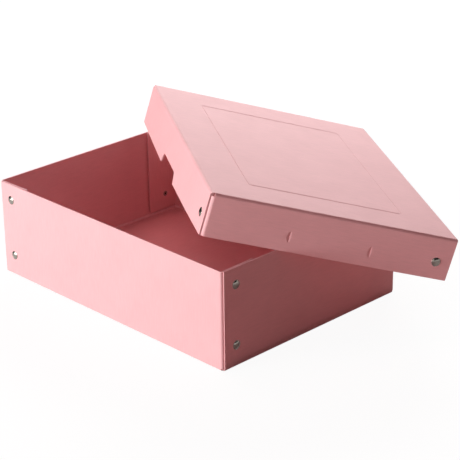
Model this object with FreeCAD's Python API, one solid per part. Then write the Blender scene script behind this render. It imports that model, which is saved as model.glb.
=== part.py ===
import FreeCAD, Part
import math
import os

from FreeCAD import Matrix, Placement, Rotation, Vector

# A storage box for papers: an open tray and a lift-off lid, each folded from one sheet of board.
# Lengths are in millimetres and angles in degrees.
# The base stands on z = 0, centred on the origin, with its long side along X.

# Outside of the base tray
BASE_LENGTH = 324.0
BASE_WIDTH = 240.0
BASE_HEIGHT = 100.0

# The lid fits over the base with this much room on each side
LID_HEIGHT = 42.0
LID_CLEARANCE = 2.0

# The board, and the inside radius of its creases
BOARD = 1.2
BASE_CREASE_RADIUS = 0.8
LID_CREASE_RADIUS = 1.8

# Corners: each wall ends in a flap that is bent round and lies behind the next wall
FLAP_LENGTH = 41.0
FLAP_GAP = 0.2
FLAP_RELIEF = 5.0
RAW_END_SETBACK = 2.2

# Finger notches in the lower edges of the lid's two long skirts
NOTCH_MOUTH = 67.0
NOTCH_ROOF = 58.0
NOTCH_DEPTH = 11.0

# Label slits in the lid's right skirt
SLIT_SPACING = 80.0
SLIT_HEIGHT = 9.5
SLIT_WIDTH = 0.6
SLIT_ABOVE_EDGE = 14.5

# Groove pressed round the middle of the lid's top
GROOVE_MARGIN = 45.0
GROOVE_WIDTH = 1.4
GROOVE_DEPTH = 0.35
GROOVE_CORNER = 4.0

# Two-piece rivets: a domed cap with a barrel outside, a flanged hollow pin inside
CAP_DIAMETER = 9.0
CAP_HEIGHT = 1.5
CAP_RIM = 0.35
BARREL_DIAMETER = 3.6
BARREL_WALL = 0.35
BARREL_END_GAP = 0.1
FLANGE_DIAMETER = 6.0
FLANGE_THICKNESS = 0.5
PIN_CLEARANCE = 0.1
PIN_WALL = 0.35
PIN_END_GAP = 0.3
HOLE_CLEARANCE = 0.15

# Places of the rivets
RIVET_FROM_CORNER = 17.0
BASE_RIVET_FROM_TOP = 17.0
BASE_RIVET_FROM_FLOOR = 22.0
LID_RIVET_FROM_EDGE = 17.0

# How the lid leans: the line between its two rests is turned by this angle from the base's long side,
# the lid is turned a little more about its own normal, and its back skirt hangs this far behind the
# corner that it lies on
LEAN_ANGLE = 31.1
LEAN_SKEW = -2.0
SKIRT_BEHIND_CORNER = 34.8
SEAT_GAP = 0.3

# Sizes that follow from those above
LID_INNER_LENGTH = BASE_LENGTH + 2 * LID_CLEARANCE
LID_INNER_WIDTH = BASE_WIDTH + 2 * LID_CLEARANCE
LID_LENGTH = LID_INNER_LENGTH + 2 * BOARD
LID_WIDTH = LID_INNER_WIDTH + 2 * BOARD
RIVET_GRIP = 2 * BOARD + FLAP_GAP
BARREL_RADIUS = BARREL_DIAMETER / 2
BORE_RADIUS = BARREL_RADIUS - BARREL_WALL
PIN_RADIUS = BORE_RADIUS - PIN_CLEARANCE

SIDES = ("front", "right", "back", "left")
SIDE_AFTER_FLIP = {"front": "back", "right": "right", "back": "front", "left": "left"}
X_AXIS = Vector(1, 0, 0)
Y_AXIS = Vector(0, 1, 0)
Z_AXIS = Vector(0, 0, 1)
ORIGIN = Vector(0, 0, 0)


def slab(x, y, z):
    """A block given by its (low, high) pairs along the three axes."""
    corner = Vector(x[0], y[0], z[0])
    return Part.makeBox(x[1] - x[0], y[1] - y[0], z[1] - z[0], corner)


def placed(shape, placement):
    """A copy of a shape moved by a placement."""
    return shape.transformed(placement.toMatrix(), copy=True)


def polygon_face(points):
    """A flat face with straight edges through the points."""
    return Part.Face(Part.makePolygon(points + points[:1]))


def crease_section(radius):
    """A quarter ring of board about the origin, bent from its -y side round to its +x side."""
    outer = radius + BOARD
    half_way = math.sqrt(0.5)

    def arc(r):
        middle = Vector(r * half_way, -r * half_way, 0)
        return Part.Arc(Vector(0, -r, 0), middle, Vector(r, 0, 0)).toShape()

    ends = [
        Part.makeLine(Vector(outer, 0, 0), Vector(radius, 0, 0)),
        Part.makeLine(Vector(0, -radius, 0), Vector(0, -outer, 0)),
    ]
    return Part.Face(Part.Wire(Part.__sortEdges__([arc(outer), ends[0], arc(radius), ends[1]])))


def sides(length, width):
    """Each side's name, its outer length and the placement of its own frame.

    In that frame the outer face is y = 0 and looks along -y, x runs to the right as seen from
    outside, and x = 0 is the middle of the side.
    """
    for turn, name in enumerate(SIDES):
        along, across = (length, width) if turn % 2 == 0 else (width, length)
        rotation = Rotation(Z_AXIS, 90.0 * turn)
        yield name, along, Placement(rotation.multVec(Vector(0, -across / 2, 0)), rotation)


def folded_wall(side_length, height, crease_radius):
    """One wall in its side's frame: lower crease, flat panel, corner fold and flap."""
    fold = crease_radius + BOARD
    raw_end = -side_length / 2 + RAW_END_SETBACK
    flap_face = side_length / 2 - BOARD - FLAP_GAP
    bend = flap_face - fold
    panel = slab((raw_end, bend), (0, BOARD), (fold, height))
    flap = slab((flap_face - BOARD, flap_face), (fold, FLAP_LENGTH), (FLAP_RELIEF, height))

    section = crease_section(crease_radius)
    upright = section.translated(Vector(bend, fold, FLAP_RELIEF))
    corner_fold = upright.extrude(Z_AXIS * (height - FLAP_RELIEF))
    lying = section.rotated(ORIGIN, Y_AXIS, 90).translated(Vector(raw_end, fold, fold))
    lower_crease = lying.extrude(X_AXIS * (bend - raw_end))
    return panel.multiFuse([lower_crease, corner_fold, flap]).removeSplitter()


def folded_sheet(length, width, height, crease_radius):
    """One sheet of board folded into an open tray, divided at its creases into floor and walls."""
    fold = crease_radius + BOARD
    across_x = length / 2 - fold
    across_y = width / 2 - fold
    panels = {"floor": slab((-across_x, across_x), (-across_y, across_y), (0, BOARD))}
    for side, side_length, placement in sides(length, width):
        panels[side] = placed(folded_wall(side_length, height, crease_radius), placement)
    return panels


def rivet_places(length, width, heights):
    """Each rivet's name and placement: z = 0 is the wall's outer face and +z points outwards."""
    outwards = Rotation(X_AXIS, 90)
    for side, side_length, placement in sides(length, width):
        for level, height in heights.items():
            spot = Vector(-side_length / 2 + RIVET_FROM_CORNER, 0, height)
            yield (side, level), placement * Placement(spot, outwards)


def rivet_hole():
    """The hole that a rivet's barrel needs through a wall and the flap behind it."""
    reach = RIVET_GRIP + BOARD
    return Part.makeCylinder(BARREL_RADIUS + HOLE_CLEARANCE, 2 * reach, Vector(0, 0, -reach))


def turned(edges):
    """The solid that a closed outline in the XZ plane sweeps about the Z axis."""
    face = Part.Face(Part.Wire(Part.__sortEdges__(edges)))
    return Part.makeSolid(face.revolve(ORIGIN, Z_AXIS, 360))


def outline(points):
    """Straight edges through (radius, height) points, left open at the ends."""
    spots = [Vector(r, 0, z) for r, z in points]
    return [Part.makeLine(a, b) for a, b in zip(spots, spots[1:])]


def rivet_cap():
    """Domed head on the wall's outer face, with the barrel that passes through both boards."""
    rim_radius = CAP_DIAMETER / 2
    rise = CAP_HEIGHT - CAP_RIM
    sphere = (rim_radius**2 + rise**2) / (2 * rise)
    half_angle = math.asin(rim_radius / sphere) / 2
    shoulder = Vector(
        sphere * math.sin(half_angle), 0, CAP_HEIGHT - sphere * (1 - math.cos(half_angle))
    )
    dome = Part.Arc(Vector(0, 0, CAP_HEIGHT), shoulder, Vector(rim_radius, 0, CAP_RIM)).toShape()
    barrel_end = BARREL_END_GAP - RIVET_GRIP
    rest = outline([
        (rim_radius, CAP_RIM),
        (rim_radius, 0),
        (BARREL_RADIUS, 0),
        (BARREL_RADIUS, barrel_end),
        (BORE_RADIUS, barrel_end),
        (BORE_RADIUS, 0),
        (0, 0),
        (0, CAP_HEIGHT),
    ])
    return turned([dome] + rest)


def rivet_post():
    """Hollow pin in the cap's barrel, with a rounded flange on the flap's inner face."""
    flange_radius = FLANGE_DIAMETER / 2
    hollow = PIN_RADIUS - PIN_WALL
    seat = -RIVET_GRIP
    back = seat - FLANGE_THICKNESS
    quarter = FLANGE_THICKNESS * math.sqrt(0.5)
    shoulder = Vector(flange_radius - FLANGE_THICKNESS + quarter, 0, seat - quarter)
    lip = Part.Arc(
        Vector(flange_radius, 0, seat), shoulder, Vector(flange_radius - FLANGE_THICKNESS, 0, back)
    ).toShape()
    rest = outline([
        (flange_radius - FLANGE_THICKNESS, back),
        (hollow, back),
        (hollow, -PIN_END_GAP - PIN_WALL),
        (0, -PIN_END_GAP - PIN_WALL),
        (0, -PIN_END_GAP),
        (PIN_RADIUS, -PIN_END_GAP),
        (PIN_RADIUS, seat),
        (flange_radius, seat),
    ])
    return turned([lip] + rest)


def riveted_tray(length, width, height, crease_radius, rivet_heights):
    """A folded sheet's panels with their rivet holes, and the rivets' caps and posts by place."""
    cap, post = rivet_cap(), rivet_post()
    places = dict(rivet_places(length, width, rivet_heights))
    holes = [placed(rivet_hole(), p) for p in places.values()]
    sheet = folded_sheet(length, width, height, crease_radius)
    panels = {name: panel.cut(holes) for name, panel in sheet.items()}
    caps = {place: placed(cap, p) for place, p in places.items()}
    posts = {place: placed(post, p) for place, p in places.items()}
    return panels, caps, posts


def finger_notches():
    """A prism right across the lid that opens a notch in both long skirts at once."""
    mouth, roof = NOTCH_MOUTH / 2, NOTCH_ROOF / 2
    edge, top = -LID_HEIGHT, NOTCH_DEPTH - LID_HEIGHT
    front = -LID_WIDTH / 2 - BOARD
    # the prism starts below the edge so that it cuts cleanly through it
    flare = (mouth - roof) * BOARD / NOTCH_DEPTH
    corners = [(-mouth - flare, edge - BOARD), (mouth + flare, edge - BOARD), (roof, top), (-roof, top)]
    face = polygon_face([Vector(x, front, z) for x, z in corners])
    return face.extrude(Y_AXIS * (LID_WIDTH + 2 * BOARD))


def label_slits():
    """Two upright slits through the right skirt."""
    low = SLIT_ABOVE_EDGE - LID_HEIGHT - SLIT_HEIGHT / 2
    through = (LID_LENGTH / 2 - 2 * BOARD, LID_LENGTH / 2 + BOARD)
    half = SLIT_WIDTH / 2
    return [
        slab(through, (y - half, y + half), (low, low + SLIT_HEIGHT))
        for y in (-SLIT_SPACING / 2, SLIT_SPACING / 2)
    ]


def rounded_block(half_x, half_y, corner, depth):
    """A block on z = 0 that reaches down by its depth, with rounded upright edges."""
    block = slab((-half_x, half_x), (-half_y, half_y), (-depth, 0))
    upright = [e for e in block.Edges if abs(e.tangentAt(e.FirstParameter).z) > 0.5]
    return block.makeFillet(corner, upright)


def pressed_groove():
    """The thin rectangular groove in the lid's top, as a ring to cut away."""
    half_x = LID_LENGTH / 2 - GROOVE_MARGIN
    half_y = LID_WIDTH / 2 - GROOVE_MARGIN
    outer = rounded_block(half_x, half_y, GROOVE_CORNER, GROOVE_DEPTH)
    inner = rounded_block(
        half_x - GROOVE_WIDTH, half_y - GROOVE_WIDTH, GROOVE_CORNER - GROOVE_WIDTH, GROOVE_DEPTH
    )
    return outer.cut(inner)


def leaning_placement():
    """Where the lid rests, across the right and back walls and on the corner between them.

    The lower edges of its right and left skirts lie on the outer edges of those two walls, and the
    underside of its top lies on the raw end of the back wall. The line between the two rests is
    level, so the tilt follows from the skirts' depth and the rests' distance from the corner.
    """
    angle, skew = math.radians(LEAN_ANGLE), math.radians(LEAN_SKEW)
    span = LID_INNER_LENGTH / math.cos(skew)
    corner_reach = math.sin(angle) * (span * math.cos(angle) - RAW_END_SETBACK)
    tilt = math.asin((LID_HEIGHT - BOARD) / corner_reach)

    rest_line = Vector(math.cos(angle), -math.sin(angle), 0)
    up = Vector(math.sin(tilt) * math.sin(angle), math.sin(tilt) * math.cos(angle), math.cos(tilt))
    along = rest_line * math.cos(skew) + up.cross(rest_line) * math.sin(skew)
    back = up.cross(along)

    seat = BASE_HEIGHT + SEAT_GAP
    right_rest = Vector(BASE_LENGTH / 2, BASE_WIDTH / 2 - span * math.sin(angle), seat)
    corner_rest = Vector(BASE_LENGTH / 2 - RAW_END_SETBACK, BASE_WIDTH / 2, seat)
    corner_from_middle = LID_INNER_WIDTH / 2 - SKIRT_BEHIND_CORNER
    rests_from_middle = (corner_rest - right_rest).dot(back) - corner_from_middle
    centre = right_rest - along * (LID_INNER_LENGTH / 2) + back * rests_from_middle + up * LID_HEIGHT
    return Placement(Matrix(
        along.x, back.x, up.x, centre.x,
        along.y, back.y, up.y, centre.y,
        along.z, back.z, up.z, centre.z,
        0, 0, 0, 1,
    ))


def base_nodes():
    """The base's floor and walls, and its rivets, two at each corner."""
    heights = {"lower": BASE_RIVET_FROM_FLOOR, "upper": BASE_HEIGHT - BASE_RIVET_FROM_TOP}
    panels, caps, posts = riveted_tray(
        BASE_LENGTH, BASE_WIDTH, BASE_HEIGHT, BASE_CREASE_RADIUS, heights
    )
    nodes = {"base_floor": panels.pop("floor")}
    for side, panel in panels.items():
        nodes[f"base_wall_{side}"] = panel
    for side, level in caps:
        nodes[f"base_rivet_cap_{side}_{level}"] = caps[side, level]
        nodes[f"base_rivet_post_{side}_{level}"] = posts[side, level]
    return nodes


def lid_nodes():
    """The lid's top and skirts, and its rivets, one at each corner, turned over on to the base."""
    heights = {"only": LID_HEIGHT - LID_RIVET_FROM_EDGE}
    panels, caps, posts = riveted_tray(LID_LENGTH, LID_WIDTH, LID_HEIGHT, LID_CREASE_RADIUS, heights)
    turned_over = Placement(ORIGIN, Rotation(X_AXIS, 180))
    lean = leaning_placement()
    cuts = [finger_notches(), pressed_groove()] + label_slits()
    pressed = {name: placed(panel, turned_over).cut(cuts) for name, panel in panels.items()}
    nodes = {"lid_top": placed(pressed.pop("floor"), lean)}
    for side, panel in pressed.items():
        nodes[f"lid_skirt_{SIDE_AFTER_FLIP[side]}"] = placed(panel, lean)
    for side, level in caps:
        lid_side = SIDE_AFTER_FLIP[side]
        nodes[f"lid_rivet_cap_{lid_side}"] = placed(caps[side, level], lean * turned_over)
        nodes[f"lid_rivet_post_{lid_side}"] = placed(posts[side, level], lean * turned_over)
    return nodes


os.makedirs("parts", exist_ok=True)
for node, shape in {**base_nodes(), **lid_nodes()}.items():
    shape.exportStep(f"parts/{node}.step")
    print(node, "solids", len(shape.Solids), "volume", round(shape.Volume, 2), "valid", shape.isValid())
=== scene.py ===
import math

import bpy
import numpy as np
from bpy.props import FloatProperty, FloatVectorProperty, PointerProperty
from bpy.types import Operator, Panel, PropertyGroup
from mathutils import Matrix, Vector


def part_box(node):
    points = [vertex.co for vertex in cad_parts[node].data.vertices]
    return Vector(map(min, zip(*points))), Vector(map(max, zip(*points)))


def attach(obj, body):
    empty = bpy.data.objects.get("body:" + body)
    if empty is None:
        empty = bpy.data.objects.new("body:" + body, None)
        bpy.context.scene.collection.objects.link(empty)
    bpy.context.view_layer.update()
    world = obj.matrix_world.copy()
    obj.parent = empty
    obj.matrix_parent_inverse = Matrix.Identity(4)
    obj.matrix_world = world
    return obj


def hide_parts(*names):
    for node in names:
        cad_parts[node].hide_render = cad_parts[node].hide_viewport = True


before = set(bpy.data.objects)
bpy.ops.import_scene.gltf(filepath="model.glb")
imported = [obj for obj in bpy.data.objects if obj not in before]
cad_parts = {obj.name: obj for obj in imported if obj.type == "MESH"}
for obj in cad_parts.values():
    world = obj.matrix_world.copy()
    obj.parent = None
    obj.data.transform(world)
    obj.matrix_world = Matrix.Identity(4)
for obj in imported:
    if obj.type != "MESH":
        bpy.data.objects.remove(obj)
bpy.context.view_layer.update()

bl_info = {
    "name": "Riveted board box",
    "version": (1, 0, 0),
    "blender": (4, 5, 0),
    "location": "View3D > Sidebar > Board Box",
    "description": "A storage box folded from pink board, with riveted corners and a lid leaning across it",
    "category": "Add Mesh",
}

SIDES = ("front", "right", "back", "left")
# the lid is a tray turned over about X, which swaps its front and back
LID_SIDES = ("back", "right", "front", "left")
QUARTER = math.pi / 2
# points closer together than this become one
WELD = 1e-6
LINE_DIGITS = 7
SHARP_EDGE = math.radians(38)

# shares and powers that shape the board
FLATTENING = 0.35
# share by which a fold's outer face turns paler, as rubbed wear that is partly a painted highlight
FOLD_WEAR_AND_HIGHLIGHT = 0.3
BOW_GROWTH = 1.3
LEAF_FALL = 1.3
FAR_LEAF_DEPTH = 0.4
FAR_LEAF_NARROWING = 2.0
GROOVE_SHOWS_THROUGH = 0.6
GROOVE_BELL = 0.4
FLAP_HELD = 0.5
NOTCH_MOUTH_SOFTNESS = 0.03
NOTCH_ROOF_SOFTNESS = 0.3
# share of a skirt's height above which its rows follow the notch
NOTCH_ROWS_START = 0.35

# distances between grid lines, and places of single lines
WALL_STEP = 0.012
ROW_STEP = 0.009
FLAP_STEP = 0.004
GROOVE_STEP = 0.00036
NOTCH_STEP = 0.0007
SLIT_STEP = 0.0005
LOW_ROW = 0.009
FIRST_ROW = 0.015
BEFORE_BEND = (0.0004, 0.0012)
BESIDE_NOTCH = (0.004, 0.001)
# half the square of cells that gives way to a hole, in barrel diameters
HOLE_ROOM = 1.5
HOLE_LINES = 7
RING_LINES = 4
BEND_LINES = 9
BEAD_LINES = 6
SLIT_LINES = 17
TURNED_SEGMENTS = 56
FLOOR_LINES = 9

# how far the ends of a barrel and of its pin stay clear of the board and the cap
BARREL_END = 0.0001
PIN_END = 0.0003
# where a cap's dome meets its rolled rim: inwards in radii of the roll, and up in heights of the rim
DOME_INSET = 0.3
DOME_LEVEL = 0.8
ROLL_START = 80
DOME_POINTS = 14
ROLL_POINTS = 10
LIP_POINTS = 9
THROAT_POINTS = 6

# how far a piece's box may differ from that of the nodes it stands for
SHEET_TOLERANCE = 0.003
RIVET_TOLERANCE = 0.0004

NOISE_ROUGHNESS = 0.55
# the plies at a cut edge come and go with this share of its thickness
PLY = 0.125
# range of upward normals over which a cut edge is paled by a painted highlight from above
PAINTED_TOP_HIGHLIGHT_RANGE = (0.3, 0.9)

MIDDLE = (0.0, 0.0, 0.08)
# soft boxes: place, point faced, width and height, power in watts, tint, and whether it is seen
LAMPS = {
    "key_lamp": ((-0.55, -2.02, 0.33), MIDDLE, (0.9, 0.5), 43.5, (0.90, 1.0, 1.0), True),
    "back_lamp": ((-1.35, 1.75, 1.05), MIDDLE, (1.4, 1.2), 61.5, (0.93, 1.0, 1.0), True),
    "top_lamp": ((-0.6, -0.3, 1.75), MIDDLE, (0.9, 0.9), 7.4, (1.0, 0.46, 0.47), True),
    "front_fill": ((0.6, -1.9, 0.3), MIDDLE, (0.6, 0.5), 3.3, (1.0, 0.27, 0.28), True),
    "table_fill": ((0.515, -0.1, 0.004), (0.515, -0.1, 1.0), (0.7, 0.7), 0.20, (1.0, 0.56, 0.55), False),
}
# cards that are seen only in reflections: grey value, a corner and the two edges that leave it
CARDS = {
    "low_card": (0.75, (0.166, -0.6, 0.001), (1.034, 0.0, 0.0), (0.0, 1.6, 0.0)),
    "left_card": (0.02, (-0.8, -0.9, 0.0), (0.0, 1.2, 0.0), (0.0, 0.0, 0.5)),
    "side_card": (0.03, (1.2, -1.0, 0.2), (0.0, 2.6, 0.0), (0.0, 0.0, 0.8)),
}
WHITE = (1.0, 1.0, 1.0, 1.0)
SKY_STRENGTH = 0.06
FLOOR_GLOW = 0.94
FLOOR_DROP = 0.0002
SENSOR_WIDTH = 36.0
SEEN_RANGE = (0.01, 100.0)
RIGHT_WALL_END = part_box("base_wall_right")[1]
BACK_WALL_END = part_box("base_wall_back")[1]


def length(description, default):
    """A size in metres for the sidebar."""
    return FloatProperty(
        description=description, default=default, min=0.0,
        precision=5, subtype="DISTANCE", unit="LENGTH",
    )


def degrees(description, default):
    """An angle for the sidebar, given here in degrees."""
    return FloatProperty(
        description=description, default=math.radians(default), subtype="ANGLE", unit="ROTATION",
    )


def colour(description, default):
    """A linear colour for the sidebar."""
    return FloatVectorProperty(
        description=description, default=default, size=3, min=0.0, max=1.0, subtype="COLOR",
    )


class BoardSizes(PropertyGroup):
    """Sizes of the two folded sheets."""

    base_length: length("Outside length of the base", 2 * RIGHT_WALL_END.x)
    base_width: length("Outside width of the base", 2 * BACK_WALL_END.y)
    base_height: length("Outside height of the base", BACK_WALL_END.z)
    lid_height: length("Depth of the lid's skirts", 0.042)
    lid_clearance: length("Room between lid and base on each side", 0.002)
    board: length("Thickness of the board", 0.0012)
    base_crease: length("Inside radius of the base's folds", 0.0008)
    lid_crease: length("Inside radius of the lid's folds", 0.0018)
    base_bead: length("Radius of the bead raised inside the base's creases", 0.0025)
    lid_bead: length("Radius of the bead raised inside the lid's creases", 0.0026)
    flap: length("Reach of a corner flap behind the next wall", 0.041)
    flap_gap: length("Room between a flap and the wall before it", 0.0002)
    flap_relief: length("Height of the cut under a flap", 0.006)
    flap_root: length("Width of the strip that stays below a flap at its fold", 0.0012)
    flap_spring: length("How far a flap's free end springs off the wall", 0.0009)
    flap_flare: length("How far a flap's free edge springs off the wall", 0.0005)
    flap_lift: length("How far a flap's edge by the floor springs off the wall", 0.0009)
    flap_edge: length("Width of the strip in which a flap's edges spring off", 0.012)
    raw_end: length("Distance of a wall's cut end from the corner", 0.0022)
    wall_bow: length("Outward bow of the base's upper edges", 0.0003)
    front_bow: length("Outward bow of the lid's front skirt", 0.0026)
    back_bow: length("Outward bow of the lid's back skirt", 0.0015)
    end_bow: length("Outward bow of the lid's short skirts", 0.0004)


class PressingSizes(PropertyGroup):
    """Sizes of what is cut and pressed into the lid."""

    notch_mouth: length("Width of a finger notch at the skirt's edge", 0.067)
    notch_roof: length("Width of a finger notch at its top", 0.058)
    notch_depth: length("Depth of a finger notch", 0.011)
    slit_spacing: length("Distance between the two label slits", 0.080)
    slit_height: length("Length of a label slit", 0.0105)
    slit_above_edge: length("Middle of a slit above the skirt's edge", 0.0145)
    slit_press: length("Depth to which the board beside a slit is pressed in", 0.0009)
    slit_leaf: length("Width of the pressed leaf beside a slit", 0.0030)
    groove_margin: length("Distance of the groove from the lid's edges", 0.045)
    groove_width: length("Width of the pressed groove", 0.0014)
    groove_depth: length("Depth of the pressed groove", 0.00038)
    groove_corner: length("Outer corner radius of the groove", 0.004)


class RivetSizes(PropertyGroup):
    """Sizes and places of the two-piece rivets."""

    cap: length("Diameter of a rivet's domed cap", 0.009)
    cap_height: length("Height of the dome above the board", 0.0015)
    cap_rim: length("Height of the cap's rolled rim", 0.00035)
    barrel: length("Diameter of the cap's barrel", 0.0036)
    barrel_wall: length("Wall of the barrel", 0.00035)
    flange: length("Diameter of the flange inside", 0.006)
    flange_thickness: length("Thickness of the flange", 0.0005)
    pin_clearance: length("Room between pin and barrel", 0.0001)
    pin_wall: length("Wall of the hollow pin", 0.00035)
    hole_clearance: length("Room between barrel and board", 0.00015)
    from_corner: length("Distance of a rivet from the box's corner", 0.017)
    base_from_top: length("Upper base rivets below the upper edge", 0.017)
    base_from_floor: length("Lower base rivets above the floor", 0.022)
    lid_from_edge: length("Lid rivets above the skirt's edge", 0.017)


class LeanSizes(PropertyGroup):
    """How the lid leans across the base."""

    angle: degrees("Turn of the line between the lid's two rests", 31.1)
    skew: degrees("Further turn of the lid about its own normal", -2.0)
    behind_corner: length("Back skirt behind the corner under the lid", 0.0348)
    seat_gap: length("Gap left under the lid's rests", 0.0003)


class Finishes(PropertyGroup):
    """Colours of the box and its stage, as linear values."""

    board: colour("Dyed board", (0.91, 0.495, 0.51))
    # the cut-edge tone is the board's own colour darkened as painted shade
    cut_edge: colour("Core of the board that shows at cut edges", (0.76, 0.41, 0.42))
    # pale tone for folds rubbed by wear, which are partly a painted highlight, and for painted highlights
    # on the inner beads and on cut edges that face up
    worn: colour("Paler board at folds and at edges that face up", (0.98, 0.64, 0.66))
    metal: colour("Nickel plating of the rivets", (0.35, 0.317, 0.28))
    stage: colour("Floor under the box", (0.62, 0.44, 0.43))
    floor_shade: colour("Part of the seen floor that takes shadows", (0.10, 0.10, 0.10))
    sky: colour("Even light from all round", (1.0, 0.72, 0.70))


class StageSizes(PropertyGroup):
    """Camera and studio."""

    azimuth: degrees("Direction that the camera stands in", 45.76)
    elevation: degrees("Height of the camera above the horizon", 23.19)
    roll: degrees("Turn of the camera about its own axis", -0.72)
    distance: length("Camera to the point that it looks at", 1.680)
    target: FloatVectorProperty(
        description="Point that the camera looks at", default=(0.0277, 0.0213, 0.0580),
        size=3, subtype="XYZ", unit="LENGTH",
    )
    lens: FloatProperty(description="Focal length on a sensor 36 mm wide", default=130.6)
    floor: length("Half the width of the floor", 8.0)


def stack(*columns):
    """Columns of any matching shapes as points along a new last axis."""
    return np.stack(np.broadcast_arrays(*columns), axis=-1)


def cells(rows, columns):
    """Corner numbers of every cell of a grid, in an order that turns from u to v."""
    number = np.arange(rows * columns).reshape(rows, columns)
    corners = (number[:-1, :-1], number[1:, :-1], number[1:, 1:], number[:-1, 1:])
    return np.stack(corners, axis=-1)


def merged_lines(*groups):
    """Sorted grid lines from several groups of places, each place once."""
    return np.unique(np.round(np.concatenate([np.ravel(g) for g in groups]), LINE_DIGITS))


def between(lines, low, high):
    """The grid lines from low to high, both included."""
    return lines[(lines > low - WELD) & (lines < high + WELD)]


def soft_ramp(u, low_softness, high_softness):
    """A ramp that is 0 below u = 0 and 1 above u = 1, with rounded corners of the given softness."""
    rise = 0.5 * (u + np.sqrt(u**2 + low_softness**2))
    fall = 0.5 * ((u - 1) + np.sqrt((u - 1) ** 2 + high_softness**2))
    return rise - fall


class FoldedTray:
    """An open tray folded from one sheet, with surfaces as functions of two parameters.

    Each surface function takes two arrays and gives four: points on the sheet's outer face, points
    on its inner face, places on the flat sheet before folding, and two paling shares: how far the
    fold is worn on the outer face, which is partly a painted highlight, and a painted highlight on
    the bead of the inner face. In a side's own frame the outer face is y = 0 and looks along -y, and
    x runs to the right as seen from outside. The sides follow each other in quarter turns about Z.
    """

    def __init__(self, sizes, length, width, height, crease, bead):
        self.sizes = sizes
        self.length, self.width, self.height = length, width, height
        self.board, self.crease, self.bead = sizes.board, crease, bead
        self.fold = crease + sizes.board
        self.bows = (sizes.wall_bow,) * 4
        self.pressing = None

    def side_length(self, turn):
        """Outside length of a side."""
        return self.length if turn % 2 == 0 else self.width

    def wall_start(self, turn):
        """Place of a wall's raw end."""
        return self.sizes.raw_end - self.side_length(turn) / 2

    def wall_bend(self, turn):
        """Place where a wall starts to bend into its flap."""
        return self.side_length(turn) / 2 - self.board - self.sizes.flap_gap - self.fold

    def on_side(self, turn, points):
        """Points of a side's frame in the tray's frame, by a shift and a number of quarter turns."""
        across = self.width if turn % 2 == 0 else self.length
        cos, sin = ((1, 0), (0, 1), (-1, 0), (0, -1))[turn]
        x, y = points[..., 0], points[..., 1] - across / 2
        turned = points.copy()
        turned[..., 0], turned[..., 1] = cos * x - sin * y, sin * x + cos * y
        return turned

    def made(self, turn, outer, inner, along, up, fold_wear_and_light=0.0, painted_bead_light=0.0):
        """A side's surface in the tray's frame; along and up are lengths on the flat sheet."""
        flat = self.on_side(turn, stack(along, self.fold - up))
        # the outer share is fold wear, partly a painted highlight; the inner share is a painted highlight
        # on the bead
        wear_and_light = stack(fold_wear_and_light, painted_bead_light, outer[..., 0])[..., :2]
        return self.on_side(turn, outer), self.on_side(turn, inner), flat, wear_and_light

    def bead_rise(self, distance):
        """Height of the quarter round about the inner corner, at a distance from the next face."""
        return np.sqrt(np.maximum(self.bead**2 - (distance - self.board) ** 2, 0.0))

    def bead_lines(self):
        """Distances from the next face at which the bead needs a grid line."""
        start = math.asin(self.crease / self.bead)
        return self.board + self.bead * np.sin(np.linspace(start, QUARTER, BEAD_LINES))

    def groove(self, x, y):
        """Depth of the pressed groove: a bell curve of the distance from a rounded rectangle."""
        if self.pressing is None:
            return np.zeros_like(x)
        p = self.pressing
        corner = p.groove_corner - p.groove_width / 2
        inset = p.groove_margin + p.groove_width / 2 + corner
        over_x = np.abs(x) - (self.length / 2 - inset)
        over_y = np.abs(y) - (self.width / 2 - inset)
        outside = np.hypot(np.maximum(over_x, 0), np.maximum(over_y, 0))
        distance = outside + np.minimum(np.maximum(over_x, over_y), 0) - corner
        return p.groove_depth * np.exp(-((distance / (GROOVE_BELL * p.groove_width)) ** 2))

    def notch(self, turn, x):
        """Rise of a long skirt's edge in its finger notch: a trapezoid with rounded inner corners."""
        if self.pressing is None or turn % 2:
            return np.zeros_like(x)
        p = self.pressing
        run = (p.notch_mouth - p.notch_roof) / 2
        inwards = (p.notch_mouth / 2 - np.abs(x)) / run
        return p.notch_depth * soft_ramp(inwards, NOTCH_MOUTH_SOFTNESS, NOTCH_ROOF_SOFTNESS)

    def press(self, away, z):
        """Depth of the leaf beside a slit, which falls to a curved edge and to the slit's ends.

        Along the slit it is half an ellipse, drawn in a little so that the slit closes at both ends.
        """
        p = self.pressing
        drawn_in = 0.999
        middle = self.height - p.slit_above_edge
        rise = np.sqrt(np.clip(drawn_in - ((z - middle) / (p.slit_height / 2)) ** 2, 0.0, 1.0))
        leaf = p.slit_leaf * rise + WELD
        return p.slit_press * rise * np.clip(1 - away / leaf, 0.0, 1.0) ** LEAF_FALL

    def floor(self, y, x):
        """A flat sheet z = 0, pressed in along the groove, with the beads rising towards its edges."""
        depth = self.groove(x, y)
        rise = self.bead_rise(np.minimum(self.length / 2 - np.abs(x), self.width / 2 - np.abs(y)))
        inner = stack(x, y, self.board + GROOVE_SHOWS_THROUGH * depth + rise)
        # the inner face pales with the bead's rise: a painted highlight on the bead
        return stack(x, y, depth), inner, stack(x, y), stack(0.0 * rise, rise / self.bead)

    def lower_crease(self, turn, x, t):
        """A quarter turn from floor (t = 0) to wall (t = 1); inside, it follows the bead's arc."""
        angle = t * QUARTER
        start = math.asin(self.crease / self.bead)
        around = (1 - t) * (QUARTER - start) + t * start
        outer = stack(x, self.fold * (1 - np.sin(angle)), self.fold * (1 - np.cos(angle)))
        inner = stack(x, self.board + self.bead * np.cos(around), self.board + self.bead * np.sin(around))
        # outside, the fold pales as wear that is partly a painted highlight; inside, the bead is fully
        # paled as a painted highlight
        wear_and_light = FOLD_WEAR_AND_HIGHLIGHT * np.sin(np.pi * t)
        return self.made(turn, outer, inner, x, self.fold * angle, wear_and_light, 1.0)

    def unrolled(self, z):
        """Length on the flat sheet from the floor's edge to a height on the wall."""
        return self.fold * QUARTER + z - self.fold

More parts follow.
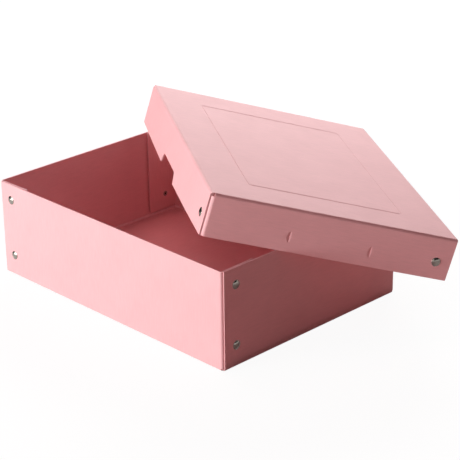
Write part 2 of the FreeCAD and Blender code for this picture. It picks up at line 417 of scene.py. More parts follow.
    def wall(self, turn, x, z, slit_before=None, slit_after=None):
        """An upright panel that bows outwards by a parabola along x and rises to its cut upper edge.

        Beside a slit it is pressed in, less so on the side where the slit is at the panel's end.
        """
        low, high = self.wall_start(turn), self.wall_bend(turn)
        across = (2 * x - low - high) / (high - low)
        height = np.maximum(z - self.fold, 0.0) / (self.height - self.fold)
        y = -self.bows[turn] * (1 - across**2) * height**BOW_GROWTH
        if slit_before is not None:
            y = y + self.press(x - slit_before, z)
        if slit_after is not None:
            y = y + FAR_LEAF_DEPTH * self.press(FAR_LEAF_NARROWING * (slit_after - x), z)
        stretch = np.clip((z / self.height - NOTCH_ROWS_START) / (1 - NOTCH_ROWS_START), 0.0, 1.0)
        level = z - self.notch(turn, x) * stretch
        rise = self.bead_rise(z)
        inner = stack(x, y + self.board + rise, level)
        # the inner face pales with the bead's rise: a painted highlight on the bead
        return self.made(turn, stack(x, y, level), inner, x, self.unrolled(level), 0.0, rise / self.bead)

    def corner_fold(self, turn, t, z):
        """A quarter turn about an upright line, from the wall (t = 0) to its flap (t = 1).

        The scored line flattens the arc towards its chord.
        """
        angle = t * QUARTER
        bend = self.wall_bend(turn)
        across = FLATTENING * t + (1 - FLATTENING) * np.sin(angle)
        behind = FLATTENING * t + (1 - FLATTENING) * (1 - np.cos(angle))

        def bent(radius):
            return stack(bend + radius * across, self.fold - radius + radius * behind, z)

        along = bend + self.fold * angle
        # the fold's outer face pales as wear that is partly a painted highlight
        wear_and_light = FOLD_WEAR_AND_HIGHLIGHT * np.sin(np.pi * t)
        return self.made(turn, bent(self.fold), bent(self.crease), along, self.unrolled(z), wear_and_light)

    def flap(self, turn, y, z):
        """A panel behind the next wall that springs off by parabolas, past its rivets and at its edges."""
        sizes = self.sizes
        bend = self.wall_bend(turn)
        held = FLAP_HELD * sizes.flap
        spring = sizes.flap_spring * np.maximum((y - held) / (sizes.flap - held), 0.0) ** 2
        opened = np.clip((y - self.fold) / sizes.flap_edge, 0.0, 1.0)
        upper = np.clip(1 - (self.height - z) / sizes.flap_edge, 0.0, 1.0) ** 2
        lower = np.clip(1 - (z - sizes.flap_relief) / sizes.flap_edge, 0.0, 1.0) ** 2
        edges = opened * (sizes.flap_flare * upper + sizes.flap_lift * lower)
        face = bend + self.fold - spring - edges
        along = bend + self.fold * QUARTER + y - self.fold
        outer = stack(face, y, z)
        inner = stack(face - self.board, y, z)
        return self.made(turn, outer, inner, along, self.unrolled(z))


def patch(surface, us, vs):
    """A surface function on a whole grid, with the corner numbers of its cells."""
    u, v = np.meshgrid(us, vs, indexing="ij")
    return surface(u, v), cells(len(us), len(vs)).reshape(-1, 4)


def pierced_patch(surface, us, vs, holes, radius, reach):
    """A grid with round holes: the square of cells about each hole gives way to rings of cells.

    The rings run from the square's own corner points straight towards the hole's middle.
    """
    u, v = np.meshgrid(us, vs, indexing="ij")
    numbers = cells(len(us), len(vs))
    kept = np.ones(numbers.shape[:2], bool)
    patches = []
    for middle_u, middle_v in holes:
        i0, i1 = np.searchsorted(us, (middle_u - reach - WELD, middle_u + reach - WELD))
        j0, j1 = np.searchsorted(vs, (middle_v - reach - WELD, middle_v + reach - WELD))
        kept[i0:i1, j0:j1] = False
        wide, high = i1 - i0, j1 - j0
        ring_u = np.concatenate([
            us[i0:i1], np.full(high, us[i1]), us[i1:i0:-1], np.full(high + 1, us[i0]),
        ])
        ring_v = np.concatenate([
            np.full(wide, vs[j0]), vs[j0:j1], np.full(wide, vs[j1]), vs[j1:j0:-1], vs[j0:j0 + 1],
        ])
        du, dv = ring_u - middle_u, ring_v - middle_v
        away = np.hypot(du, dv)
        share = np.linspace(1.0, 0.0, RING_LINES)[None, :]
        scale = share + (1 - share) * (radius / away)[:, None]
        points = surface(middle_u + du[:, None] * scale, middle_v + dv[:, None] * scale)
        patches.append((points, cells(len(ring_u), RING_LINES).reshape(-1, 4)))
    patches.append((surface(u, v), numbers[kept]))
    return patches


def point_count(one):
    """The number of points in a patch."""
    return one[0][0][..., 0].size


def joined_shell(patches):
    """One closed shell from patches whose shared edges have the same points.

    Points of the outer face that fall together become one. The inner face repeats the outer one's
    cells the other way round, and every open edge gets a rim cell that joins the two faces.
    """
    starts = np.cumsum([0] + [point_count(p) for p in patches])
    quads = np.concatenate([p[1] + start for p, start in zip(patches, starts)])
    outer, inner, flat, wear_and_light = (
        np.concatenate([p[0][k].reshape(point_count(p), -1) for p in patches]) for k in range(4)
    )
    keys = np.round(outer / WELD).astype(np.int64)
    _, first, place = np.unique(keys, axis=0, return_index=True, return_inverse=True)
    quads = place.ravel()[quads]
    outer, inner, flat, wear_and_light = outer[first], inner[first], flat[first], wear_and_light[first]
    count = len(outer)

    tails = quads.ravel()
    heads = np.roll(quads, -1, axis=1).ravel()
    open_edge = ~np.isin(heads * count + tails, tails * count + heads)
    tails, heads = tails[open_edge], heads[open_edge]
    rims = np.stack([heads, tails, tails + count, heads + count], axis=1)
    return {
        "points": np.concatenate([outer, inner]),
        "faces": np.concatenate([quads, quads[:, ::-1] + count, rims]),
        "rim": np.repeat([0, 1], [2 * len(quads), len(rims)]),
        "flat": np.tile(flat, (2, 1)),
        "wear_and_light": wear_and_light.T.ravel(),
        "depth": np.repeat([0.0, 1.0], count),
    }


def linked(name, data):
    """A new object in the scene."""
    made = bpy.data.objects.new(name, data)
    bpy.context.scene.collection.objects.link(made)
    return made


def mesh_piece(name, points, faces, materials):
    """A mesh object at the origin, smooth but for the edges at which its faces meet steeply."""
    mesh = bpy.data.meshes.new(name)
    mesh.from_pydata(points.tolist(), [], faces)
    mesh.polygons.foreach_set("use_smooth", np.ones(len(faces), bool))
    mesh.set_sharp_from_angle(angle=SHARP_EDGE)
    for material in materials:
        mesh.materials.append(material)
    mesh.update()
    return linked(name, mesh)


def sheet_piece(name, shell, place, materials):
    """A folded sheet as a piece, with its flat places as a UV map, and as attributes its depth and its
    paling share for wear and painted highlights.
    """
    piece = mesh_piece(name, place(shell["points"]), shell["faces"].tolist(), materials)
    mesh = piece.data
    mesh.polygons.foreach_set("material_index", shell["rim"])
    uv = mesh.uv_layers.new(name="flat_sheet")
    uv.data.foreach_set("uv", shell["flat"][shell["faces"].ravel()].ravel())
    for attribute in ("wear_and_light", "depth"):
        values = mesh.attributes.new(attribute, "FLOAT", "POINT")
        values.data.foreach_set("value", shell[attribute])
    return piece


def spread(low, high, step):
    """Evenly spaced places from low to high, no further apart than the step."""
    return np.linspace(low, high, max(2, math.ceil((high - low) / step) + 1))


def slits(tray, turn):
    """Places of the label slits along a side, which only the lid's right skirt has."""
    if tray.pressing is None or turn != SIDES.index("right"):
        return []
    return [-tray.pressing.slit_spacing / 2, tray.pressing.slit_spacing / 2]


def slit_rows(tray):
    """Grid lines along a slit, closer together towards its ends."""
    if tray.pressing is None:
        return []
    middle = tray.height - tray.pressing.slit_above_edge
    half = tray.pressing.slit_height / 2
    return middle + half * np.sin(np.linspace(-QUARTER, QUARTER, SLIT_LINES))


def pressing_lines(tray, turn):
    """Grid lines that the lid's groove, notches and slits need on one half of a side."""
    p = tray.pressing
    if p is None:
        return []
    line = tray.side_length(turn) / 2 - p.groove_margin
    lines = [spread(line - p.groove_corner - p.groove_width, line + p.groove_width, GROOVE_STEP)]
    if turn == 0:
        inside, outside = BESIDE_NOTCH
        lines.append(spread(p.notch_roof / 2 - inside, p.notch_mouth / 2 + outside, NOTCH_STEP))
    else:
        slit = p.slit_spacing / 2
        lines.append(spread(slit - p.slit_leaf, slit, SLIT_STEP))
        lines.append(spread(slit, slit + p.slit_leaf, SLIT_STEP))
    return np.concatenate(lines)


def side_lines(tray, rivets, turn, about_hole):
    """Grid lines along a side, closer together at its folds, beads, rivets and pressings."""
    side = tray.side_length(turn)
    bend = tray.wall_bend(turn)
    half = merged_lines(
        [side / 2 - tray.fold, -tray.wall_start(turn), bend],
        bend - np.array(BEFORE_BEND),
        side / 2 - tray.bead_lines(),
        side / 2 - rivets.from_corner + about_hole,
        pressing_lines(tray, turn),
    )
    calm = side / 2 - rivets.from_corner - 2 * about_hole[-1]
    return merged_lines(half, -half, spread(-calm, calm, WALL_STEP))


def wall_rows(tray, rivet_levels, about_hole):
    """Grid lines up a wall, closer together at its fold, bead, rivets and slits."""
    clear = [
        z for z in spread(FIRST_ROW, tray.height, ROW_STEP)
        if z == tray.height or all(abs(z - level) > about_hole[-1] for level in rivet_levels)
    ]
    low = [tray.fold, tray.sizes.flap_relief, LOW_ROW]
    levels = [level + about_hole for level in rivet_levels]
    return merged_lines(low, tray.bead_lines(), clear, slit_rows(tray), *levels)


def folded_shell(tray, rivets, rivet_levels):
    """The closed shell of a tray's sheet: floor, four creases, four walls and four flaps."""
    hole = rivets.barrel / 2 + rivets.hole_clearance
    square = HOLE_ROOM * rivets.barrel
    about_hole = np.linspace(-square, square, HOLE_LINES)
    along = [side_lines(tray, rivets, turn, about_hole) for turn in (0, 1)]
    edges = [tray.side_length(turn) / 2 - tray.fold for turn in (0, 1)]
    rows = wall_rows(tray, rivet_levels, about_hole)
    flap_rows = between(rows, tray.sizes.flap_relief, tray.height)
    root_rows = between(rows, tray.board + tray.bead, tray.sizes.flap_relief)
    bend_steps = np.linspace(0.0, 1.0, BEND_LINES)
    reach = merged_lines(
        [tray.fold + tray.sizes.flap_root],
        spread(tray.fold, rivets.from_corner - square, FLAP_STEP),
        rivets.from_corner + about_hole,
        spread(rivets.from_corner + square, tray.sizes.flap, FLAP_STEP),
    )
    flap_holes = [(rivets.from_corner, z) for z in rivet_levels]

    inner_x, inner_y = (between(along[k], -edges[k], edges[k]) for k in (0, 1))
    patches = [patch(tray.floor, inner_y, inner_x)]
    for turn in range(4):
        start, bend = tray.wall_start(turn), tray.wall_bend(turn)
        columns = between(along[turn % 2], start, bend)
        patches.append(patch(lambda x, t: tray.lower_crease(turn, x, t), columns, bend_steps))
        cuts = slits(tray, turn)
        stops = [start] + cuts + [bend]
        near_corner = rivets.from_corner - tray.side_length(turn) / 2
        wall_holes = [(near_corner, z) for z in rivet_levels]
        for low, high, before, after in zip(stops, stops[1:], [None] + cuts, cuts + [None]):
            patches += pierced_patch(
                lambda x, z: tray.wall(turn, x, z, before, after),
                between(columns, low, high), rows,
                wall_holes if low == start else [], hole, square,
            )
        patches.append(patch(lambda t, z: tray.corner_fold(turn, t, z), bend_steps, rows))
        patches += pierced_patch(
            lambda y, z: tray.flap(turn, y, z), reach, flap_rows, flap_holes, hole, square
        )
        # the strip below the flap closes the corner between the bead and the relief
        patches.append(patch(lambda y, z: tray.flap(turn, y, z), reach[:2], root_rows))
    return joined_shell(patches)


def base_tray(scene):
    """The base as a folded tray in the object's own frame."""
    sizes = scene.board_sizes
    return FoldedTray(
        sizes, sizes.base_length, sizes.base_width, sizes.base_height,
        sizes.base_crease, sizes.base_bead,
    )


def lid_tray(scene):
    """The lid as a folded tray, upside down, with its notches, slits and groove."""
    sizes = scene.board_sizes
    room = 2 * (sizes.lid_clearance + sizes.board)
    tray = FoldedTray(
        sizes, sizes.base_length + room, sizes.base_width + room, sizes.lid_height,
        sizes.lid_crease, sizes.lid_bead,
    )
    tray.bows = (sizes.back_bow, sizes.end_bow, sizes.front_bow, sizes.end_bow)
    tray.pressing = scene.pressing_sizes
    return tray


def leaning_lid(scene):
    """The matrix that turns the lid's tray over and leans it on the base.

    The lower edges of its right and left skirts lie on the outer edges of the base's right and back
    walls, on a level line, and its top lies on the base's corner between them. So the tilt follows
    from the skirts' depth and the corner's distance from that line.
    """
    sizes, lean = scene.board_sizes, scene.lean_sizes
    inner_length = sizes.base_length + 2 * sizes.lid_clearance
    inner_width = sizes.base_width + 2 * sizes.lid_clearance
    span = inner_length / math.cos(lean.skew)
    corner_reach = math.sin(lean.angle) * (span * math.cos(lean.angle) - sizes.raw_end)
    tilt = math.asin((sizes.lid_height - sizes.board) / corner_reach)

    rest_line = Vector((math.cos(lean.angle), -math.sin(lean.angle), 0))
    level = Vector((math.sin(lean.angle), math.cos(lean.angle), 0))
    up = level * math.sin(tilt) + Vector((0, 0, math.cos(tilt)))
    along = rest_line * math.cos(lean.skew) + up.cross(rest_line) * math.sin(lean.skew)
    back = up.cross(along)

    seat = sizes.base_height + lean.seat_gap
    half_length, half_width = sizes.base_length / 2, sizes.base_width / 2
    right_rest = Vector((half_length, half_width - span * math.sin(lean.angle), seat))
    corner_rest = Vector((half_length - sizes.raw_end, half_width, seat))
    rests_from_middle = (corner_rest - right_rest).dot(back) - (inner_width / 2 - lean.behind_corner)
    centre = right_rest - along * (inner_length / 2) + back * rests_from_middle + up * sizes.lid_height
    turned_over = Matrix((along, -back, -up)).transposed().to_4x4()
    return Matrix.Translation(centre) @ turned_over


def moved_by(matrix):
    """A function that moves an array of points by a matrix."""
    values = np.array(matrix)
    return lambda points: points @ values[:3, :3].T + values[:3, 3]


def check_place(piece, nodes, tolerance):
    """Stops the script if a piece isn't where the nodes that it stands for are."""
    corners = np.array([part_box(n) for n in nodes])
    points = np.empty(3 * len(piece.data.vertices))
    piece.data.vertices.foreach_get("co", points)
    points = points.reshape(-1, 3)
    low = np.abs(points.min(0) - corners[:, 0].min(0)).max()
    high = np.abs(points.max(0) - corners[:, 1].max(0)).max()
    if max(low, high) > tolerance:
        raise RuntimeError(f"{piece.name} is {max(low, high):.4f} m off the nodes it stands for")


def finished(piece, body, nodes, tolerance=SHEET_TOLERANCE):
    """Puts a piece on its body in place of its nodes."""
    check_place(piece, nodes, tolerance)
    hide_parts(*nodes)
    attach(piece, body)


def add_node(tree, kind, inputs=None, **settings):
    """A shader node with its settings, and its inputs set to values or linked to sockets."""
    made = tree.nodes.new(kind)
    for key, value in settings.items():
        setattr(made, key, value)
    for key, value in (inputs or {}).items():
        if isinstance(value, bpy.types.NodeSocket):
            tree.links.new(value, made.inputs[key])
        else:
            made.inputs[key].default_value = value
    return made


def new_material(name):
    """An empty node material with its output, and the tree that holds them."""
    material = bpy.data.materials.new(name)
    material.use_nodes = True
    material.node_tree.nodes.clear()
    output = material.node_tree.nodes.new("ShaderNodeOutputMaterial")
    return material, material.node_tree, output


def noise(tree, vector, scale=1.0, detail=2.0, stretch=(1.0, 1.0, 1.0)):
    """A noise value, finer with the scale and, along each axis, with the stretch."""
    mapping = add_node(tree, "ShaderNodeMapping", {"Vector": vector, "Scale": stretch})
    grain = {"Scale": scale, "Detail": detail, "Roughness": NOISE_ROUGHNESS}
    inputs = {"Vector": mapping.outputs["Vector"], **grain}
    return add_node(tree, "ShaderNodeTexNoise", inputs).outputs["Fac"]


def computed(tree, operation, *terms):
    """The result of an operation on sockets or numbers."""
    return add_node(tree, "ShaderNodeMath", dict(enumerate(terms)), operation=operation).outputs[0]


def weighted_sum(tree, parts):
    """The sum of socket values, each times its weight."""
    total = 0.0
    for socket, weight in parts:
        total = computed(tree, "MULTIPLY_ADD", socket, weight, total)
    return total


def shade(tone, factor):
    """A colour times a factor, kept below one."""
    return tuple(min(1.0, c * factor) for c in tone)


def two_shades(tree, value, tone, places, factors):
    """A colour that runs from a darker shade of a tone at one value to a lighter one at another."""
    ramp = add_node(tree, "ShaderNodeValToRGB", {"Fac": value})
    for stop, place, factor in zip(ramp.color_ramp.elements, places, factors):
        stop.position = place
        stop.color = (*shade(tone, factor), 1.0)
    return ramp.outputs["Color"]


def ranged(tree, value, start=(0.0, 1.0), end=(0.0, 1.0)):
    """A value carried over from one range to another."""
    limits = {"From Min": start[0], "From Max": start[1], "To Min": end[0], "To Max": end[1]}
    return add_node(tree, "ShaderNodeMapRange", {"Value": value, **limits}).outputs["Result"]


def worn_and_lit_mix(tree, share, colour_socket, worn_and_lit_tone):
    """A colour that gives way by a share to the pale tone of wear and painted highlights."""
    tones = {0: share, 6: colour_socket, 7: (*worn_and_lit_tone, 1.0)}
    return add_node(tree, "ShaderNodeMix", tones, data_type="RGBA").outputs[2]


def show(tree, output, shader):
    """Links a shader to the output."""
    tree.links.new(shader.outputs[0], output.inputs["Surface"])


def set_surface(tree, output, inputs, relief, strength, depth):
    """Links a surface shader with a fine relief to the material's output."""
    bump = add_node(tree, "ShaderNodeBump", {"Height": relief, "Strength": strength, "Distance": depth})
    inputs = {**inputs, "Normal": bump.outputs["Normal"]}
    show(tree, output, add_node(tree, "ShaderNodeBsdfPrincipled", inputs))


def board_material(tone, worn_and_lit_tone):
    """Through-dyed board: a fine laid grain along the sheet's short side, cloudy dye, folds paled by wear
    and partly by a painted highlight, and a painted highlight on the inner beads.
    """
    material, tree, output = new_material("pink_board")
    flat = add_node(tree, "ShaderNodeUVMap", uv_map="flat_sheet").outputs["UV"]
    laid = noise(tree, flat, detail=3.0, stretch=(620.0, 70.0, 1.0))
    tooth = noise(tree, flat, scale=1100.0)
    cloud = noise(tree, flat, scale=26.0, detail=3.0)
    value = weighted_sum(tree, [(laid, 0.45), (tooth, 0.25), (cloud, 0.30)])
    dyed = two_shades(tree, value, tone, places=(0.30, 0.70), factors=(0.93, 1.07))
    # paling share of wear at the folds, partly a painted highlight, and of painted highlights on the inner
    # beads, broken up by the cloud
    wear_and_light = add_node(tree, "ShaderNodeAttribute", attribute_name="wear_and_light").outputs["Fac"]
    worn_and_lit_share = computed(tree, "MULTIPLY", wear_and_light, ranged(tree, cloud, end=(0.4, 1.3)))
    looks = {
        "Base Color": worn_and_lit_mix(tree, worn_and_lit_share, dyed, worn_and_lit_tone),
        "Roughness": ranged(tree, value, end=(0.76, 0.62)),
        "Specular IOR Level": 0.35,
    }
    relief = weighted_sum(tree, [(laid, 0.7), (tooth, 0.3)])
    set_surface(tree, output, looks, relief, strength=0.6, depth=0.00012)
    return material


def cut_edge_material(tone, worn_and_lit_tone):
    """Cut board in a tone darkened as painted shade: plies as thin bands across the edge, broken by fibres,
    and a painted highlight where it faces up.
    """
    material, tree, output = new_material("cut_board_edge")
    flat = add_node(tree, "ShaderNodeUVMap", uv_map="flat_sheet").outputs["UV"]
    depth = add_node(tree, "ShaderNodeAttribute", attribute_name="depth").outputs["Fac"]
    fibres = noise(tree, flat, scale=1400.0, detail=3.0)
    value = weighted_sum(tree, [(computed(tree, "PINGPONG", depth, PLY), 3.0), (fibres, 0.6)])
    bands = two_shades(tree, value, tone, places=(0.2, 0.8), factors=(0.88, 1.08))
    # cut edges that face up are paled: a painted highlight for light from above
    facing = add_node(tree, "ShaderNodeNewGeometry").outputs["Normal"]
    upwards = add_node(tree, "ShaderNodeSeparateXYZ", {"Vector": facing}).outputs["Z"]
    painted_top_highlight = ranged(tree, upwards, start=PAINTED_TOP_HIGHLIGHT_RANGE)
    looks = {
        "Base Color": worn_and_lit_mix(tree, painted_top_highlight, bands, worn_and_lit_tone),
        "Roughness": 0.85,
        "Specular IOR Level": 0.2,
    }
    set_surface(tree, output, looks, value, strength=0.5, depth=0.0001)
    return material


def nickel_material(tone):
    """Bright nickel plating, a little clouded, with faint handling marks."""
    material, tree, output = new_material("nickel_plate")
    place = add_node(tree, "ShaderNodeTexCoord").outputs["Object"]
    cloud = noise(tree, place, scale=420.0, detail=3.0)
    marks = noise(tree, place, stretch=(3500.0, 900.0, 3500.0))
    looks = {
        "Base Color": two_shades(tree, cloud, tone, places=(0.3, 0.7), factors=(0.88, 1.1)),
        "Metallic": 1.0,
        "Roughness": ranged(tree, marks, end=(0.10, 0.30)),
    }
    set_surface(tree, output, looks, marks, strength=0.08, depth=0.0001)
    return material


def shared_material(name, make, *tones):
    """The material of that name, made once."""
    return bpy.data.materials.get(name) or make(*tones)


def board_materials(scene):
    """The dyed faces and the cut edges of the board."""
    tones = scene.box_finishes
    faces = shared_material("pink_board", board_material, tones.board, tones.worn)
    edges = shared_material("cut_board_edge", cut_edge_material, tones.cut_edge, tones.worn)
    return [faces, edges]


def turned_surface(profile, segments):
    """A closed surface of revolution: the profile's (radius, height) points carried round the Z axis.

    The profile starts and ends on the axis, and each end is one point with a fan of triangles.
    """
    angle = np.linspace(0.0, 2 * np.pi, segments, endpoint=False)
    rings = profile[1:-1]
    radius, height = rings[:, :1], rings[:, 1:]
    points = stack(radius * np.cos(angle), radius * np.sin(angle), height)
    ends = np.array([[0.0, 0.0, profile[0, 1]], [0.0, 0.0, profile[-1, 1]]])
    number = np.arange(len(rings) * segments).reshape(len(rings), segments)
    after = np.roll(number, -1, axis=1)
    quads = np.stack([number[:-1], number[1:], after[1:], after[:-1]], axis=-1).reshape(-1, 4)
    first, last = np.full(segments, number.size), np.full(segments, number.size + 1)
    fans = np.concatenate([
        np.stack([first, number[0], after[0]], axis=1),
        np.stack([last, after[-1], number[-1]], axis=1),
    ])
    return np.concatenate([points.reshape(-1, 3), ends]), quads.tolist() + fans.tolist()


def arc(middle, radius, start, end, steps):
    """Points on an arc about a middle (radius, height), between two angles in degrees."""
    angle = np.radians(np.linspace(start, end, steps))
    return np.array(middle) + radius * stack(np.cos(angle), np.sin(angle))


def cap_profile(rivets, grip):
    """Cap: a dome that meets a rolled rim, a flat underside, and a barrel that is open at its end."""
    rim = rivets.cap_rim / 2
    edge = rivets.cap / 2 - rim
    foot = edge - DOME_INSET * rim
    rise = rivets.cap_height - rivets.cap_rim * DOME_LEVEL
    sphere = (foot**2 + rise**2) / (2 * rise)
    tip = math.degrees(math.asin(foot / sphere))
    dome = arc((0.0, rivets.cap_height - sphere), sphere, 90, 90 - tip, DOME_POINTS)
    roll = arc((edge, rim), rim, ROLL_START, -90, ROLL_POINTS)
    outer, bore = rivets.barrel / 2, rivets.barrel / 2 - rivets.barrel_wall
    end = BARREL_END - grip
    barrel = [(outer, 0.0), (outer, end), (bore, end), (bore, 0.0), (0.0, 0.0)]
    return np.concatenate([dome, roll, barrel])


def post_profile(rivets, grip):
    """Post: a hollow pin, closed at its far end, with a flange rolled over like an eyelet."""
    pin = rivets.barrel / 2 - rivets.barrel_wall - rivets.pin_clearance
    hollow = pin - rivets.pin_wall
    far = -PIN_END
    half = rivets.flange_thickness / 2
    seat = -grip
    lip = arc((rivets.flange / 2 - half, seat - half), half, 90, -90, LIP_POINTS)
    throat = arc((hollow + half, seat - half), half, 270, 180, THROAT_POINTS)
    head = [(0.0, far), (pin, far), (pin, seat)]
    inside = [(hollow, far - rivets.pin_wall), (0.0, far - rivets.pin_wall)]
    return np.concatenate([head, lip, throat, inside])


def rivet_matrix(tray, turn, from_corner, height):
    """A rivet's frame in its tray: the wall's outer face is z = 0 and +z points outwards."""
    spot = np.array([from_corner - tray.side_length(turn) / 2, 0.0, height])
    across = Vector(tray.on_side(turn, spot))
    outwards = Matrix.Rotation(QUARTER * turn, 4, "Z") @ Matrix.Rotation(QUARTER, 4, "X")
    return Matrix.Translation(across) @ outwards


def rivet_set(scene, tray, body, place, sides, levels):
    """Cap and post of every rivet of a tray, each in place of its node."""
    rivets = scene.rivet_sizes
    grip = 2 * tray.board + tray.sizes.flap_gap
    metal = shared_material("nickel_plate", nickel_material, scene.box_finishes.metal)
    profiles = {"cap": cap_profile(rivets, grip), "post": post_profile(rivets, grip)}
    for part, profile in profiles.items():
        points, faces = turned_surface(profile, TURNED_SEGMENTS)
        for turn, side in enumerate(sides):
            for level, height in levels.items():
                matrix = place @ rivet_matrix(tray, turn, rivets.from_corner, height)
                name = f"{part}_{body}_{side}{level}"
                piece = mesh_piece(name, moved_by(matrix)(points), faces, [metal])
                node = f"{body}_rivet_{part}_{side}{level}"
                finished(piece, body, [node], RIVET_TOLERANCE)


def base_levels(scene):
    """Heights of the base's rivets by the ending of their names."""
    rivets = scene.rivet_sizes
    upper = scene.board_sizes.base_height - rivets.base_from_top
    return {"_lower": rivets.base_from_floor, "_upper": upper}


def lid_levels(scene):
    """Height of the lid's rivets in its upturned tray."""
    return {"": scene.board_sizes.lid_height - scene.rivet_sizes.lid_from_edge}


class BOX_OT_base_sheet(Operator):
    """Fold the base from one sheet of board"""

    bl_idname = "board_box.base_sheet"
    bl_label = "Base sheet"

    def execute(self, context):
        scene = context.scene
        tray = base_tray(scene)
        shell = folded_shell(tray, scene.rivet_sizes, base_levels(scene).values())
        piece = sheet_piece("base_sheet", shell, lambda points: points, board_materials(scene))
        finished(piece, "base", ["base_floor"] + [f"base_wall_{side}" for side in SIDES])
        return {"FINISHED"}


class BOX_OT_lid_sheet(Operator):
    """Fold the lid from one sheet of board and lean it on the base"""

    bl_idname = "board_box.lid_sheet"
    bl_label = "Lid sheet"

    def execute(self, context):
        scene = context.scene
        shell = folded_shell(lid_tray(scene), scene.rivet_sizes, lid_levels(scene).values())
        piece = sheet_piece("lid_sheet", shell, moved_by(leaning_lid(scene)), board_materials(scene))
        finished(piece, "lid", ["lid_top"] + [f"lid_skirt_{side}" for side in SIDES])
        return {"FINISHED"}


class BOX_OT_rivets(Operator):
    """Set the caps and posts of the rivets in both trays' corners"""

    bl_idname = "board_box.rivets"
    bl_label = "Rivets"

    def execute(self, context):
        scene = context.scene
        rivet_set(scene, base_tray(scene), "base", Matrix.Identity(4), SIDES, base_levels(scene))
        rivet_set(scene, lid_tray(scene), "lid", leaning_lid(scene), LID_SIDES, lid_levels(scene))
        return {"FINISHED"}


def show_apart(tree, output, lit, seen):
    """Links one shader for light and shade, and another for what camera, mirrors and glass show."""
    path = add_node(tree, "ShaderNodeLightPath").outputs
    direct = computed(tree, "MAXIMUM", path["Is Camera Ray"], path["Is Glossy Ray"])
    shown = computed(tree, "MAXIMUM", direct, path["Is Transmission Ray"])
    looks = {0: shown, 1: lit.outputs[0], 2: seen.outputs[0]}
    show(tree, output, add_node(tree, "ShaderNodeMixShader", looks))


def stage_floor(scene):
    """A flat floor that is white to the camera and to mirrors, and keeps a soft shadow of the box."""
    half = scene.stage_sizes.floor
    tones = scene.box_finishes
    lines = np.linspace(-half, half, FLOOR_LINES)
    x, y = np.meshgrid(lines, lines, indexing="ij")
    points = stack(x, y, -FLOOR_DROP).reshape(-1, 3)
    material, tree, output = new_material("stage_floor")
    matt = add_node(tree, "ShaderNodeBsdfDiffuse", {"Color": (*tones.stage, 1.0)})
    faint = add_node(tree, "ShaderNodeBsdfDiffuse", {"Color": (*tones.floor_shade, 1.0)})
    glow = add_node(tree, "ShaderNodeEmission", {"Color": WHITE, "Strength": FLOOR_GLOW})
    bright = add_node(tree, "ShaderNodeAddShader", {0: faint.outputs[0], 1: glow.outputs[0]})
    show_apart(tree, output, matt, bright)
    squares = cells(FLOOR_LINES, FLOOR_LINES).reshape(-1, 4).tolist()
    mesh_piece("stage_floor", points, squares, [material])


def studio_world(tone):
    """A dim even sky that is white to the camera and to mirrors."""
    world = bpy.data.worlds.new("studio")
    world.use_nodes = True
    tree = world.node_tree
    tree.nodes.clear()
    output = tree.nodes.new("ShaderNodeOutputWorld")
    sky = add_node(tree, "ShaderNodeBackground", {"Color": (*tone, 1.0), "Strength": SKY_STRENGTH})
    white = add_node(tree, "ShaderNodeBackground", {"Color": WHITE})
    show_apart(tree, output, sky, white)
    bpy.context.scene.world = world


def soft_box(name, place, aim, size, power, tint, seen):
    """A rectangular lamp at a place that faces a point."""
    lamp = bpy.data.lights.new(name, "AREA")
    lamp.shape = "RECTANGLE"
    lamp.size, lamp.size_y = size
    lamp.energy = power
    lamp.color = tint
    holder = linked(name, lamp)
    holder.location = place
    holder.rotation_euler = (Vector(aim) - Vector(place)).to_track_quat("-Z", "Y").to_euler()
    holder.visible_camera = seen
    holder.visible_glossy = seen


def mirror_card(name, grey, corner, along, up):
    """A flat card that only mirrors see, as photographers set beside metal: corner + u along + v up."""
    u, v = np.meshgrid([0.0, 1.0], [0.0, 1.0], indexing="ij")
    points = np.array(corner) + u[..., None] * np.array(along) + v[..., None] * np.array(up)
    material, tree, output = new_material(name)
    matt = add_node(tree, "ShaderNodeBsdfDiffuse", {"Color": (grey, grey, grey, 1.0)})
    show(tree, output, matt)
    card = mesh_piece(name, points.reshape(-1, 3), cells(2, 2).reshape(-1, 4).tolist(), [material])
    for ray in ("camera", "diffuse", "shadow", "transmission"):
        setattr(card, f"visible_{ray}", False)


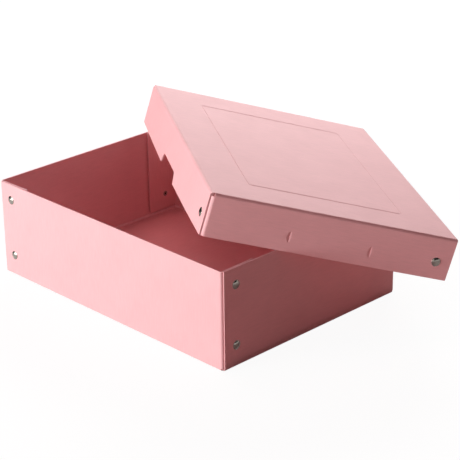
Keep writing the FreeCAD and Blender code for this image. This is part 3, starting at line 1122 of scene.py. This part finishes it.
def studio_camera(stage):
    """A camera that looks from its direction at its target, turned a little about its own axis."""
    camera = linked("studio_camera", bpy.data.cameras.new("studio_camera"))
    camera.data.sensor_width = SENSOR_WIDTH
    camera.data.lens = stage.lens
    camera.data.clip_start, camera.data.clip_end = SEEN_RANGE
    raised = Matrix.Rotation(QUARTER - stage.elevation, 4, "X") @ Matrix.Rotation(stage.roll, 4, "Z")
    turn = Matrix.Rotation(stage.azimuth, 4, "Z") @ raised
    away = Matrix.Translation((0.0, 0.0, stage.distance))
    camera.matrix_world = Matrix.Translation(stage.target) @ turn @ away
    bpy.context.scene.camera = camera


class BOX_OT_stage(Operator):
    """Lay the floor and set the lamps, the cards and the camera"""

    bl_idname = "board_box.stage"
    bl_label = "Stage"

    def execute(self, context):
        scene = context.scene
        stage_floor(scene)
        studio_world(scene.box_finishes.sky)
        for name, lamp in LAMPS.items():
            soft_box(name, *lamp)
        for name, card in CARDS.items():
            mirror_card(name, *card)
        studio_camera(scene.stage_sizes)
        scene.view_settings.view_transform = "Standard"
        return {"FINISHED"}


class BOX_PT_panel(Panel):
    """Sizes, finishes and steps of the box"""

    bl_label = "Board Box"
    bl_idname = "BOX_PT_panel"
    bl_space_type = "VIEW_3D"
    bl_region_type = "UI"
    bl_category = "Board Box"

    def draw(self, context):
        for operator in OPERATORS:
            self.layout.operator(operator.bl_idname)
        for name, group in GROUPS.items():
            box = self.layout.box()
            box.label(text=group.__doc__)
            for key in group.__annotations__:
                label = key.replace("_", " ").capitalize()
                box.prop(getattr(context.scene, name), key, text=label)


GROUPS = {
    "board_sizes": BoardSizes,
    "pressing_sizes": PressingSizes,
    "rivet_sizes": RivetSizes,
    "lean_sizes": LeanSizes,
    "box_finishes": Finishes,
    "stage_sizes": StageSizes,
}
OPERATORS = (BOX_OT_base_sheet, BOX_OT_lid_sheet, BOX_OT_rivets, BOX_OT_stage)
CLASSES = (*GROUPS.values(), *OPERATORS, BOX_PT_panel)


def register():
    for cls in CLASSES:
        bpy.utils.register_class(cls)
    for name, group in GROUPS.items():
        setattr(bpy.types.Scene, name, PointerProperty(type=group))


def unregister():
    for name in GROUPS:
        delattr(bpy.types.Scene, name)
    for cls in reversed(CLASSES):
        bpy.utils.unregister_class(cls)


def main():
    register()
    bpy.ops.board_box.base_sheet()
    bpy.ops.board_box.lid_sheet()
    bpy.ops.board_box.rivets()
    bpy.ops.board_box.stage()


if __name__ == "__main__":
    main()
